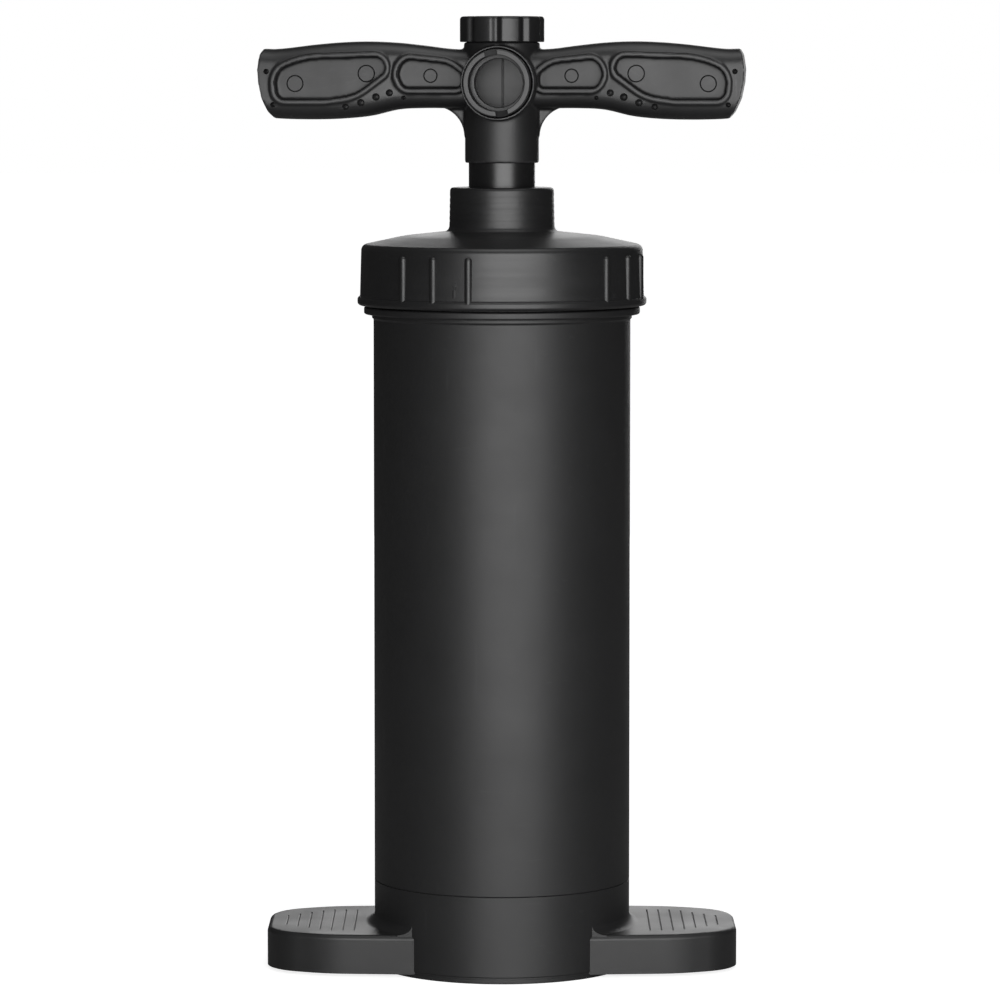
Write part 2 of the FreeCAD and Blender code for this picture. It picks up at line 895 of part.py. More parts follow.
def make_vent_washer():
    return ring(
        vent_neck_radius - free_fit,
        vent_bore + free_fit,
        vent_neck_top,
        vent_neck_top + vent_washer_thickness,
    )


def make_vent_cap():
    top = hub_top + vent_cap_height
    roof = vent_neck_top + vent_washer_thickness
    inner = vent_neck_radius + free_fit
    body = turned(
        [
            (0, roof),
            (inner, roof),
            (inner, hub_top + rest_gap),
            (vent_cap_radius, hub_top + rest_gap, 0.5),
            (vent_cap_radius, top, 1.2),
            (0, top),
        ]
    )
    centre = vent_cap_radius - vent_scallop_depth + vent_scallop_radius
    scallops = []
    for i in range(vent_lobes):
        x, y = facing(centre, vent_lobe_phase - handle_turn + (i + 0.5) * 360 / vent_lobes)
        scallops.append(post(vent_scallop_radius, hub_top - 1, top + 1, x, y))
    return body.cut(Part.makeCompound(scallops))


# ---------------------------------------------------------------- write every sub-part

os.makedirs("parts", exist_ok=True)

save("foot_base", make_foot_base())
save("base_gasket", make_base_gasket())
save("floor_buffer", make_floor_buffer())
save("barrel", make_barrel())
save("cap_gasket", make_cap_gasket())
save("screw_cap", make_screw_cap())
save("rod_bush", make_rod_bush())
save("rod_seal", make_rod_seal())
save("seal_retainer", make_seal_retainer())
save("stop_ring", make_stop_ring())

save("piston_bottom", make_piston_bottom())
save("piston_middle", make_piston_middle())
save("piston_top", make_piston_top())
save("piston_screws", make_piston_screws())
save("piston_seal", make_piston_seal())
save("suction_flap_low", make_flap(suction_low_circle, piston_bottom - flap_thickness))
save("pressure_flap_low", make_flap(pressure_low_circle, middle_top))
save("pressure_flap_high", make_flap(pressure_high_circle, top_plate_bottom - flap_thickness))
save("suction_flap_high", make_flap(suction_high_circle, piston_top))
save("piston_rod", make_piston_rod())
save("inner_tube", make_inner_tube())

save("handle", make_handle(), handle_turn)
save("front_port", make_port(), handle_turn)
save("rear_port", make_port(), handle_turn + 180)
save("air_divider", make_air_divider(), handle_turn)
save("vent_washer", make_vent_washer(), handle_turn)
save("vent_cap", make_vent_cap(), handle_turn)

print("stroke", round(stop_ring_bottom - sleeve_top, 2))
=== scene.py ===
import json
import math

import bmesh
import bpy
from mathutils import Matrix, Vector


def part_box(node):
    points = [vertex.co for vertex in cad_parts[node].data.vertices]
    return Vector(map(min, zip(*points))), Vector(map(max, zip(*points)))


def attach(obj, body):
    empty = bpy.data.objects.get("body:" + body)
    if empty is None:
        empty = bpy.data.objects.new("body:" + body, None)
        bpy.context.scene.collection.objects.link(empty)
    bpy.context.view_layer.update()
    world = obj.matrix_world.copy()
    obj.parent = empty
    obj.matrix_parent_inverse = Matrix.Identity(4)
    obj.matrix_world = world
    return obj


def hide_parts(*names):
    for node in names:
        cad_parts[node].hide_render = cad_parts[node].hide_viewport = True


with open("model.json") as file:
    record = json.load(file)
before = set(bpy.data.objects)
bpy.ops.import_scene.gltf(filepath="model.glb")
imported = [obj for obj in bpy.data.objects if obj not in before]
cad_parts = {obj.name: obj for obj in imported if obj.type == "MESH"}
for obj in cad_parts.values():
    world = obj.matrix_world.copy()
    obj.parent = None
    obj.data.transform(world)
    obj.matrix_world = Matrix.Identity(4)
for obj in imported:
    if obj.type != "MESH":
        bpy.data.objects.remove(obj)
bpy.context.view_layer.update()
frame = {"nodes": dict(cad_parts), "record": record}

mm = 0.001
record = frame["record"]
mounts = {mount["name"]: mount for mount in record["mounts"]}
portAxis = mounts["front_hose_port"]["axis"]
handleTurn = math.atan2(portAxis[0], -portAxis[1])
portHeight = mounts["front_hose_port"]["pos_m"][2] / mm


# small helpers, all working in millimetres until a piece is finished


def deselect():
    if bpy.context.mode != "OBJECT":
        bpy.ops.object.mode_set(mode="OBJECT")
    bpy.ops.object.select_all(action="DESELECT")


def activate(piece):
    deselect()
    piece.select_set(True)
    bpy.context.view_layer.objects.active = piece
    return piece


def useModifier(piece, kind, **settings):
    activate(piece)
    modifier = piece.modifiers.new(kind.title(), kind)
    for key, value in settings.items():
        setattr(modifier, key, value)
    bpy.ops.object.modifier_apply(modifier=modifier.name)
    return piece


def combine(piece, other, operation="DIFFERENCE"):
    useModifier(piece, "BOOLEAN", object=other, operation=operation, solver="EXACT")
    bpy.data.objects.remove(other)
    return piece


def joinPieces(pieces):
    deselect()
    for piece in pieces:
        piece.select_set(True)
    bpy.context.view_layer.objects.active = pieces[0]
    bpy.ops.object.join()
    return bpy.context.active_object


def duplicateOf(piece):
    activate(piece)
    bpy.ops.object.duplicate()
    return bpy.context.active_object


def settle(piece, location=(0, 0, 0), rotation=(0, 0, 0), scale=(1, 1, 1)):
    # moves a piece and bakes the move into its mesh
    piece.location, piece.rotation_euler, piece.scale = location, rotation, scale
    activate(piece)
    bpy.ops.object.transform_apply(location=True, rotation=True, scale=True)
    if scale[0] * scale[1] * scale[2] < 0:
        editAll(piece)
        bpy.ops.mesh.normals_make_consistent(inside=False)
        bpy.ops.object.mode_set(mode="OBJECT")
    return piece


def editAll(piece):
    activate(piece)
    bpy.ops.object.mode_set(mode="EDIT")
    bpy.ops.mesh.select_all(action="SELECT")


def pick(piece, kind, wanted):
    # in edit mode, selects only the vertices, edges or faces for which wanted(...) is true
    bpy.ops.mesh.select_mode(type=kind)
    bpy.ops.mesh.select_all(action="DESELECT")
    shape = bmesh.from_edit_mesh(piece.data)
    parts = {"VERT": shape.verts, "EDGE": shape.edges, "FACE": shape.faces}[kind]
    for part in parts:
        if wanted(part):
            part.select_set(True)
    shape.select_flush_mode()
    bmesh.update_edit_mesh(piece.data)


def prism(outline, start, finish, upright=False):
    # a flat circle is pulled to the outline, then extruded
    deselect()
    bpy.ops.mesh.primitive_circle_add(vertices=len(outline), fill_type="NGON")
    piece = bpy.context.active_object
    for vertex, point in zip(piece.data.vertices, outline):
        vertex.co = (point[0], point[1], start) if upright else (point[0], start, point[1])
    editAll(piece)
    travel = finish - start
    move = (0, 0, travel) if upright else (0, travel, 0)
    bpy.ops.mesh.extrude_region_move(TRANSFORM_OT_translate={"value": move})
    bpy.ops.mesh.select_all(action="SELECT")
    bpy.ops.mesh.normals_make_consistent(inside=False)
    bpy.ops.object.mode_set(mode="OBJECT")
    return piece


def turned(profile, steps=160):
    # a ring of points (radius, height) is spun about the upright axis
    deselect()
    bpy.ops.mesh.primitive_circle_add(vertices=len(profile), fill_type="NOTHING")
    piece = bpy.context.active_object
    for vertex, (radius, height) in zip(piece.data.vertices, profile):
        vertex.co = (radius, 0, height)
    editAll(piece)
    bpy.ops.mesh.spin(steps=steps, angle=2 * math.pi, center=(0, 0, 0), axis=(0, 0, 1))
    bpy.ops.mesh.select_all(action="SELECT")
    bpy.ops.mesh.remove_doubles(threshold=0.0005)
    bpy.ops.mesh.delete_loose()
    bpy.ops.mesh.select_all(action="SELECT")
    bpy.ops.mesh.normals_make_consistent(inside=False)
    bpy.ops.object.mode_set(mode="OBJECT")
    return piece


def rod(radius, start, finish, x=0.0, height=0.0, sides=48):
    # a cylinder from front to back
    deselect()
    bpy.ops.mesh.primitive_cylinder_add(
        vertices=sides,
        radius=radius,
        depth=finish - start,
        location=(x, (start + finish) / 2, height),
        rotation=(math.pi / 2, 0, 0),
    )
    piece = bpy.context.active_object
    bpy.ops.object.transform_apply(location=True, rotation=True, scale=True)
    return piece


def block(low, high):
    deselect()
    middle = [(a + b) / 2 for a, b in zip(low, high)]
    size = [b - a for a, b in zip(low, high)]
    bpy.ops.mesh.primitive_cube_add(size=1, location=middle, scale=size)
    piece = bpy.context.active_object
    bpy.ops.object.transform_apply(location=True, rotation=True, scale=True)
    return piece


def rounded(corners, steps=6):
    # corners are (u, v) or (u, v, radius); each radius becomes an arc
    points = []
    for i, corner in enumerate(corners):
        here = Vector(corner[:2])
        radius = corner[2] if len(corner) > 2 else 0
        if radius == 0:
            points.append(here)
            continue
        back = (Vector(corners[i - 1][:2]) - here).normalized()
        ahead = (Vector(corners[(i + 1) % len(corners)][:2]) - here).normalized()
        half = back.angle(ahead) / 2
        centre = here + (back + ahead).normalized() * radius / math.sin(half)
        arm = here + back * radius / math.tan(half) - centre
        turn = math.pi - 2 * half
        if back.x * ahead.y - back.y * ahead.x > 0:
            turn = -turn
        for k in range(steps + 1):
            points.append(centre + Matrix.Rotation(turn * k / steps, 2) @ arm)
    return points


def grown(outline, distance):
    # the outline moved outwards, for a loop that runs either way round
    area = sum(a.x * b.y - b.x * a.y for a, b in zip(outline, outline[1:] + outline[:1]))
    side = distance if area > 0 else -distance
    points = []
    for i, here in enumerate(outline):
        along = (outline[(i + 1) % len(outline)] - outline[i - 1]).normalized()
        points.append(here + Vector((along.y, -along.x)) * side)
    return points


def between(stations, x, column):
    # eased value of one column of the stations at x
    for before, after in zip(stations, stations[1:]):
        if x <= after[0]:
            break
    t = min(max((x - before[0]) / (after[0] - before[0]), 0.0), 1.0)
    index = stations.index(before)
    first = stations[max(index - 1, 0)]
    last = stations[min(index + 2, len(stations) - 1)]
    slopeIn = (after[column] - first[column]) / (after[0] - first[0])
    slopeOut = (last[column] - before[column]) / (last[0] - before[0])
    width = after[0] - before[0]
    return (
        (2 * t**3 - 3 * t**2 + 1) * before[column]
        + (t**3 - 2 * t**2 + t) * width * slopeIn
        + (3 * t**2 - 2 * t**3) * after[column]
        + (t**3 - t**2) * width * slopeOut
    )


def finishPiece(piece, name, body, nodes, angle=35, turn=0.0, weighted=True):
    # scales to metres, turns with the handle if asked, and hands the piece over
    settle(piece, rotation=(0, 0, turn), scale=(mm, mm, mm))
    piece.name = piece.data.name = name
    activate(piece)
    bpy.ops.object.shade_smooth_by_angle(angle=math.radians(angle))
    if weighted:
        useModifier(piece, "WEIGHTED_NORMAL", mode="FACE_AREA", keep_sharp=True)
    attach(piece, body)
    if nodes:
        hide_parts(*nodes)
    return piece


def fused(piece, voxel, smoothing, limit):
    # melts overlapping shells into one moulding with soft edges
    useModifier(piece, "REMESH", mode="VOXEL", voxel_size=voxel)
    useModifier(piece, "SMOOTH", factor=0.5, iterations=smoothing)
    triangles = sum(len(face.vertices) - 2 for face in piece.data.polygons)
    if triangles > limit:
        useModifier(piece, "DECIMATE", ratio=limit / triangles)
    print("   ", piece.name, "triangles", triangles)
    return piece


# handle

handle = {
    # distance from the axis, underside, top, half depth; heights from the ports' axis
    "stations": [
        (10.0, -12.7, 17.0, 12.2),
        (24.0, -12.7, 17.0, 12.4),
        (38.0, -12.6, 18.7, 13.0),
        (52.0, -13.3, 20.2, 13.8),
        (66.0, -16.5, 20.8, 14.2),
        (80.0, -17.9, 20.4, 14.3),
        (94.0, -18.3, 19.2, 14.3),
        (108.0, -18.1, 17.5, 14.1),
        (116.0, -17.6, 17.0, 14.2),
        (126.0, -16.8, 18.0, 14.4),
    ],
    "cuts": 30,
    "edge": 9.0,
    "end": [
        (0, -24),
        (113.4, -24),
        (114.4, -17.6),
        (117.1, -14.4),
        (120.1, -7.8),
        (121.8, 0.4),
        (122.2, 6.8),
        (121.2, 14.2),
        (119.4, 17.6),
        (119.0, 28),
        (0, 28),
    ],
    "largePocket": [
        (57.7, 13.5, 5.5),
        (99.0, 12.1, 45),
        (114.0, 6.0, 9),
        (112.9, -8.5, 5),
        (88.0, -8.5, 24),
        (73.0, -6.4, 24),
        (57.5, 5.2, 4.5),
    ],
    "smallPocket": [
        (19.2, -2.9, 3),
        (48.8, -2.9, 5),
        (52.4, 4.5, 7),
        (48.3, 12.4, 5.5),
        (25.6, 10.0, 14),
        (19.2, 4.8, 4),
    ],
    "pocketFloor": 6.4,
    "rimWidth": 2.3,
    "rimHeight": 0.9,
    "rimFoot": 10.0,
    "rimStation": 80.0,  # the rims stand out from the arm's half depth here
    "clear": 20.0,  # past every face of the arms
    # pits and marks: distance from the axis, height, radius
    "pits": [
        (48.4, -7.4, 1.3),
        (55.4, -4.9, 1.9),
        (62.2, -7.0, 2.0),
        (69.8, -9.9, 2.0),
        (77.6, -12.0, 1.8),
        (117.6, 5.7, 1.4),
        (114.3, -10.9, 1.4),
    ],
    "pitTip": 5.0,
    "pitFace": 14.3,  # where the pits have the radii given
    "marks": [(35.5, 3.6, 3.3), (67.9, 4.7, 4.1), (104.0, -0.3, 4.0)],
    "markDepth": 0.4,
    "markHalf": 0.6,
    "hubBottom": -40.1,
    "hubRadius": 18.6,
    "sleeveTop": -15.1,
    "hubTopRadius": 19.1,
    "hubTop": 20.3,
    "neckTop": 28.8,
    "neckRadius": 17.0,
    "ventBore": 12.5,
    "roof": 14.3,
    "rodBore": 16.8,
    "rodShoulder": -20.7,
    "chamber": 15.6,
    "bossRadius": 18.4,
    "bossReach": 27.0,
    "seatReach": 20.0,
    "seatRadius": 17.5,
    "throat": 12.1,
    "boreReach": 40.0,
    "webHalf": 1.6,
    "webTop": -10.5,
    "webReach": 34.0,
    "webFoot": -26.8,
    "webRadius": 15.0,
    "voxel": 0.62,
    "smoothing": 3,
    "triangleLimit": 176000,
}


def onBothFaces(near, far):
    # front and rear spans between two distances from the handle's middle plane
    return (-far, -near), (near, far)


def makeArm():
    cut = handle
    first, last = cut["stations"][0][0], cut["stations"][-1][0]
    low, high, half = -18.0, 19.0, 14.0  # the block that the arm is drawn from
    arm = block((first, -half, low), (last, half, high))
    editAll(arm)
    pick(arm, "EDGE", lambda e: abs(e.verts[0].co.x - e.verts[1].co.x) > 1)
    bpy.ops.mesh.bevel(offset=cut["edge"], segments=8, profile=0.5)
    places = [first + (last - first) * i / cut["cuts"] for i in range(cut["cuts"] + 1)]
    for x in places[1:-1]:
        bpy.ops.mesh.select_all(action="SELECT")
        bpy.ops.mesh.bisect(plane_co=(x, 0, 0), plane_no=(1, 0, 0))
    for x in places:
        under, over, depth = (between(cut["stations"], x, column) for column in (1, 2, 3))
        pick(arm, "VERT", lambda v: abs(v.co.x - x) < 0.01)
        bpy.ops.transform.resize(
            value=(1, depth / half, (over - under) / (high - low)),
            center_override=(x, 0, (high + low) / 2),
        )
        bpy.ops.transform.translate(value=(0, 0, (over + under - high - low) / 2))
    bpy.ops.object.mode_set(mode="OBJECT")
    combine(arm, prism(rounded(cut["end"]), -cut["clear"], cut["clear"]), "INTERSECT")
    face = between(cut["stations"], cut["rimStation"], 3)
    for outline in (rounded(cut["largePocket"]), rounded(cut["smallPocket"])):
        for start, finish in onBothFaces(cut["rimFoot"], face + cut["rimHeight"]):
            combine(arm, prism(grown(outline, cut["rimWidth"]), start, finish), "UNION")
        for start, finish in onBothFaces(cut["pocketFloor"], cut["clear"]):
            combine(arm, prism(outline, start, finish))
    return arm


def makeWeb():
    cut = handle
    low = (cut["hubRadius"] - 2, -cut["webHalf"], cut["webFoot"])
    web = block(low, (cut["webReach"], cut["webHalf"], cut["webTop"]))
    return combine(web, rod(cut["webRadius"], -5, 5, cut["webReach"], cut["webFoot"], 64))


def hubInside():
    cut = handle
    profile = [
        (0, cut["hubBottom"] - 2),
        (cut["rodBore"], cut["hubBottom"] - 2),
        (cut["rodBore"], cut["rodShoulder"]),
        (cut["chamber"], cut["rodShoulder"]),
        (cut["chamber"], cut["roof"]),
        (cut["ventBore"], cut["roof"]),
        (cut["ventBore"], cut["neckTop"] + 2),
        (0, cut["neckTop"] + 2),
    ]
    return turned(profile, 96)


def makeHub():
    cut = handle
    profile = [
        (cut["rodBore"] - 1, cut["hubBottom"]),
        (cut["hubRadius"], cut["hubBottom"], 0.8),
        (cut["hubRadius"], cut["sleeveTop"], 30),
        (cut["hubTopRadius"], 0, 30),
        (cut["hubTopRadius"], cut["hubTop"], 0.8),
        (cut["neckRadius"], cut["hubTop"]),
        (cut["neckRadius"], cut["neckTop"], 0.5),
        (cut["ventBore"] - 2, cut["neckTop"]),
        (cut["ventBore"] - 2, cut["hubBottom"] + 3),
    ]
    return turned(rounded(profile), 128)


def ringCutters(places, depth, width):
    # a narrow groove round every ejector mark, on both faces and both arms
    cutters = []
    for x, height, radius in places:
        for side in (1, -1):
            for face in (1, -1):
                ring = turned([(radius - width, 0.3), (radius, -depth), (radius + width, 0.3)], 40)
                place = (side * x, face * handle["pocketFloor"], height)
                cutters.append(settle(ring, place, (face * math.pi / -2, 0, 0)))
    return joinPieces(cutters)


def pitCones(places, tip, face, mouth):
    # blind holes that narrow to a point, on both faces and both arms
    cones = []
    for x, height, radius in places:
        for side in (1, -1):
            for front in (1, -1):
                deselect()
                bpy.ops.mesh.primitive_cone_add(
                    vertices=28,
                    radius1=radius * (mouth - tip) / (face - tip),
                    depth=mouth - tip,
                    location=(side * x, front * (mouth + tip) / 2, height),
                    rotation=(front * math.pi / 2, 0, 0),
                )
                cone = bpy.context.active_object
                bpy.ops.object.transform_apply(location=True, rotation=True, scale=True)
                cones.append(cone)
    return joinPieces(cones)


def makeHandle():
    cut = handle
    parts = [makeHub(), rod(cut["bossRadius"], -cut["bossReach"], cut["bossReach"], sides=96)]
    for piece in (makeArm(), makeWeb()):
        parts += [piece, settle(duplicateOf(piece), scale=(-1, 1, 1))]
    for piece in parts:
        combine(piece, hubInside())
        combine(piece, rod(cut["throat"], -cut["boreReach"], cut["boreReach"], sides=64))
        for start, finish in onBothFaces(cut["seatReach"], cut["boreReach"]):
            combine(piece, rod(cut["seatRadius"], start, finish, sides=96))
    body = fused(joinPieces(parts), cut["voxel"], cut["smoothing"], cut["triangleLimit"])
    combine(body, pitCones(cut["pits"], cut["pitTip"], cut["pitFace"], cut["clear"]))
    combine(body, ringCutters(cut["marks"], cut["markDepth"], cut["markHalf"]))
    settle(body, location=(0, 0, portHeight))
    return finishPiece(
        body, "handleMoulding", "plunger", ["handle"], 40, handleTurn, weighted=False
    )


makeHandle()
print("handle made")

# hose ports and the wall between them

port = {
    "front": 34.0,
    "back": 20.2,
    "radius": 16.9,
    "bore": 14.0,
    "faceRound": 0.8,
    "mouthRound": 0.35,
    "lipLength": 3.0,
    "reliefDepth": 0.4,
    "reliefEnd": 9.0,
    "reliefRound": 0.2,
    "edgeBevel": 0.25,
    "notchWidth": 6.2,
    "notchDepth": 2.4,
    "notchSlope": 0.55,
    "notchTilt": 10.5,  # degrees
}
airWall = {
    "near": 5.0,
    "far": 8.0,
    "half": 15.4,
    "low": -15.0,
    "high": 14.2,
    "edgeBevel": 0.35,
    "ribRadius": 1.1,
    "ribSink": 0.9,
    "ribShort": 1.0,
}


def softenEdges(piece, width, segments):
    # bevels the edges that turn by more than 50 degrees
    return useModifier(
        piece, "BEVEL", width=width, segments=segments, limit_method="ANGLE", angle_limit=math.radians(50)
    )


def makePort(name, node, half):
    cut = port
    front, bore, radius = cut["front"], cut["bore"], cut["radius"]
    lip, relief, end, soft = (cut[key] for key in ("lipLength", "reliefDepth", "reliefEnd", "reliefRound"))
    profile = [
        (bore, cut["back"]),
        (radius, cut["back"]),
        (radius, front, cut["faceRound"]),
        (bore, front, cut["mouthRound"]),
        (bore, front - lip, soft),
        (bore + relief, front - lip - relief, soft),
        (bore + relief, front - end, soft),
        (bore, front - end - relief, soft),
    ]
    piece = turned(rounded(profile, 4), 128)
    wide, deep = cut["notchWidth"] / 2, cut["notchDepth"]
    for turn in (cut["notchTilt"], cut["notchTilt"] + 180):
        notch = block((-wide, bore - 2, front - deep), (wide, radius + 1, front + 2))
        for vertex in notch.data.vertices:  # its floor falls away outwards
            if vertex.co.z < front:
                vertex.co.z -= (vertex.co.y - bore) * cut["notchSlope"]
        combine(piece, settle(notch, rotation=(0, 0, math.radians(turn))))
    softenEdges(piece, cut["edgeBevel"], 2)
    settle(piece, (0, 0, portHeight), (math.pi / 2, 0, half))
    return finishPiece(piece, name, "plunger", [node], 35, handleTurn)


def makeAirWall():
    cut = airWall
    wall = block((-cut["half"], cut["near"], cut["low"]), (cut["half"], cut["far"], cut["high"]))
    softenEdges(wall, cut["edgeBevel"], 3)
    radius, low, high = cut["ribRadius"], cut["low"] + cut["ribShort"], cut["high"] - cut["ribShort"]
    rib = turned([(0, low), (radius, low), (radius, high), (0, high)], 32)
    combine(wall, settle(rib, location=(0, cut["near"] + cut["ribSink"], 0)), "UNION")
    settle(wall, location=(0, 0, portHeight))
    return finishPiece(wall, "airWall", "plunger", ["air_divider"], 35, handleTurn)


makePort("frontPortRing", "front_port", 0)
makePort("rearPortRing", "rear_port", math.pi)
makeAirWall()
print("ports made")

# vent knob

knob = {
    "radius": 21.3,
    "lobes": 9,
    "phase": 12.0,  # degrees from the front to the first lobe's edge
    "scallop": 1.6,
    "scallopSpan": 9.0,  # half a scallop, in degrees
    "pointsPerLobe": 26,
    "topRound": 1.6,
    "footRound": 0.5,
    "dishRadius": 15.5,
    "dishDepth": 0.7,
    "dishSlope": 0.7,
    "cavityRadius": 17.7,
    "cavityDepth": 9.3,
    "mouthFlare": 0.6,
    "mouthDepth": 0.8,
}


def knobOutline(cut):
    # a circle with a rounded scallop between each pair of lobes
    points, count = [], cut["lobes"] * cut["pointsPerLobe"]
    pitch = 360 / cut["lobes"]
    for i in range(count):
        angle = 360 * i / count
        offset = (angle - cut["phase"]) % pitch - pitch / 2
        share = max(0.0, 1 - abs(offset) / cut["scallopSpan"])
        depth = cut["scallop"] * 0.5 * (1 - math.cos(math.pi * share))
        turn = math.radians(angle - 90)
        points.append(Vector((math.cos(turn), math.sin(turn))) * (cut["radius"] - depth))
    return points


def roundOver(piece, height, radius, size, upwards):
    # draws the end face out in small steps, each a little narrower, round a quarter turn
    steps, reach = 6, size

    def atEnd(face):
        return abs(face.normal.z) > 0.9 and all(abs(v.co.z - height) < 0.001 for v in face.verts)

    for k in range(1, steps + 1):
        turn, before = math.pi / 2 * k / steps, math.pi / 2 * (k - 1) / steps
        rise = radius * (math.sin(turn) - math.sin(before)) * (1 if upwards else -1)
        pick(piece, "FACE", atEnd)
        bpy.ops.mesh.extrude_region_move(TRANSFORM_OT_translate={"value": (0, 0, rise)})
        height += rise
        narrower = size - radius * (1 - math.cos(turn))
        ratio = narrower / reach
        bpy.ops.transform.resize(value=(ratio, ratio, 1), center_override=(0, 0, height))
        reach = narrower


def makeVentKnob():
    cut = knob
    low, high = (corner[2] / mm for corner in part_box("vent_cap"))
    top, foot = high - cut["topRound"], low + cut["footRound"]
    piece = prism(knobOutline(cut), foot, top, upright=True)
    editAll(piece)
    roundOver(piece, top, cut["topRound"], cut["radius"], True)
    roundOver(piece, foot, cut["footRound"], cut["radius"], False)
    bpy.ops.mesh.select_all(action="SELECT")
    bpy.ops.mesh.normals_make_consistent(inside=False)
    bpy.ops.object.mode_set(mode="OBJECT")
    dish = [
        (0, high + 1),
        (cut["dishRadius"], high + 1),
        (cut["dishRadius"], high),
        (cut["dishRadius"] - cut["dishSlope"], high - cut["dishDepth"]),
        (0, high - cut["dishDepth"]),
    ]
    combine(piece, turned(dish, 96))
    cavity = [
        (0, low - 1),
        (cut["cavityRadius"] + cut["mouthFlare"], low - 1),
        (cut["cavityRadius"], low + cut["mouthDepth"]),
        (cut["cavityRadius"], low + cut["cavityDepth"]),
        (0, low + cut["cavityDepth"]),
    ]
    combine(piece, turned(cavity, 96))
    return finishPiece(piece, "ventKnob", "vent_knob", ["vent_cap"], 32)


makeVentKnob()
print("vent knob made")

# screw cap

cap = {
    # radius, height over the skirt's edge, corner radius
    "outside": [
        (68.4, 0),
        (72.88, 0, 1.7),
        (72.88, 4.3, 1.5),
        (71.6, 4.5, 0.6),
        (70.9, 30.3, 3.4),
        (49.9, 34.8, 60),
        (26.6, 37.3, 2.8),
        (26.15, 59.2, 1.8),
        (17.1, 59.2, 0.6),
    ],
    "inside": [
        (17.1, 56.7),
        (23.9, 56.7),
        (23.9, 34.0, 2),
        (48.0, 31.8, 40),
        (66.4, 27.6, 2),
        (68.4, 24.7),
    ],
    "ringHeights": [42.4, 45.4, 48.4, 51.4, 54.4],
    "ringDepth": 0.1,
    "ringHalf": 0.9,
    "collar": (25.5, 27.5),  # the rings are cut between these radii
    "ribMiddle": 28.5,
    "ribStep": 15.0,
    "ribRadius": 1.9,
    "ribCentre": 70.95,
    "ribLow": 2.5,
    "ribHigh": 26.3,
    "ribRound": 1.7,
    "markTurn": 19.2,
    "markOut": 71.6,
    "markStand": 0.35,
    "markSink": 2,
    "markHalf": 0.8,
    "markLow": 6.3,
    "markHigh": 10.3,
    "dotRadius": 1.0,
    "dotHeight": 12.4,
    "markBevel": 0.3,
}


def withRings(profile, heights, depth, half, span):
    # shallow turned grooves on the upright stretches between the two radii of the span
    points = []
    groove = ((-half, 0), (-half / 2, depth), (half / 2, depth), (half, 0))
    for here, ahead in zip(profile, profile[1:] + profile[:1]):
        points.append(here)
        rise, run = ahead.y - here.y, ahead.x - here.x
        if not (span[0] < here.x < span[1] and abs(run) < 0.4 and rise > 2):
            continue
        for height in heights:
            if here.y + half < height < ahead.y - half:
                radius = here.x + run * (height - here.y) / rise
                points += [Vector((radius - drop, height + step)) for step, drop in groove]
    return points


def fromFront(piece, degrees):
    # degrees from the front, positive towards +X, for a piece made at the front
    return settle(piece, rotation=(0, 0, math.radians(degrees)))


def makeRib(edge):
    # one grip rib at the front, over the height of the skirt's edge
    cut = cap
    deselect()
    height = cut["ribHigh"] - cut["ribLow"]
    bpy.ops.mesh.primitive_cylinder_add(
        vertices=24,
        radius=cut["ribRadius"],
        depth=height,
        location=(0, -cut["ribCentre"], edge + cut["ribLow"] + height / 2),
    )
    rib = bpy.context.active_object
    bpy.ops.object.transform_apply(location=True, rotation=True, scale=True)
    editAll(rib)
    top = edge + cut["ribHigh"]
    pick(rib, "EDGE", lambda e: all(v.co.z > top - 0.01 for v in e.verts))
    bpy.ops.mesh.bevel(offset=cut["ribRound"], segments=6, profile=0.5)
    bpy.ops.object.mode_set(mode="OBJECT")
    return rib


def makeIndexMark(edge):
    # a bar and a dot above it, at the front
    cut = cap
    half, front, back = cut["markHalf"], -cut["markOut"] - cut["markStand"], -cut["markOut"] + cut["markSink"]
    bar = block((-half, front, edge + cut["markLow"]), (half, back, edge + cut["markHigh"]))
    useModifier(bar, "BEVEL", width=cut["markBevel"], segments=2)
    dot = rod(cut["dotRadius"], front, back, 0, edge + cut["dotHeight"], 24)
    useModifier(dot, "BEVEL", width=cut["markBevel"], segments=2, limit_method="ANGLE")
    return joinPieces([bar, dot])


def makeScrewCap():
    cut = cap
    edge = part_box("screw_cap")[0][2] / mm
    profile = rounded(cut["outside"] + cut["inside"], 8)
    profile = withRings(profile, cut["ringHeights"], cut["ringDepth"], cut["ringHalf"], cut["collar"])
    shell = turned([(point.x, point.y + edge) for point in profile], 224)
    details = [fromFront(makeIndexMark(edge), -cut["markTurn"])]
    rib = makeRib(edge)
    for quarter in range(4):
        for step in (-1, 0, 1):
            turn = 90 * quarter - cut["ribMiddle"] + step * cut["ribStep"]
            details.append(fromFront(duplicateOf(rib), turn))
    bpy.data.objects.remove(rib)
    combine(shell, joinPieces(details), "UNION")
    return finishPiece(shell, "screwCapShell", "pump_body", ["screw_cap"], 32)


makeScrewCap()
print("screw cap made")

# barrel

barrel = {
    "seam": 15.5,  # height of the seam with the base over the barrel's own foot
    # radius, height over the seam, corner radius
    "outline": [
        (63.3, -15.5, 0.4),
        (63.3, 0.15),
        (64.5, 0.1),
        (64.8, 0.45, 0.2),
        (64.8, 284.6, 0.8),
        (65.6, 285.4, 0.8),
        (65.6, 287.3, 0.5),
        (69.6, 287.3, 0.9),
        (69.6, 290.9, 0.9),
        (65.6, 290.9, 0.4),
        (65.6, 308.5, 0.6),
        (61.8, 308.5, 0.6),
        (61.8, -15.5, 0.4),
    ],
    "threadHeights": [294.8, 299.8, 304.8],
    "threadRadius": 67.3,
    "threadRoot": 64.5,
    "threadFootHalf": 1.6,
    "threadTipHalf": 0.5,
}


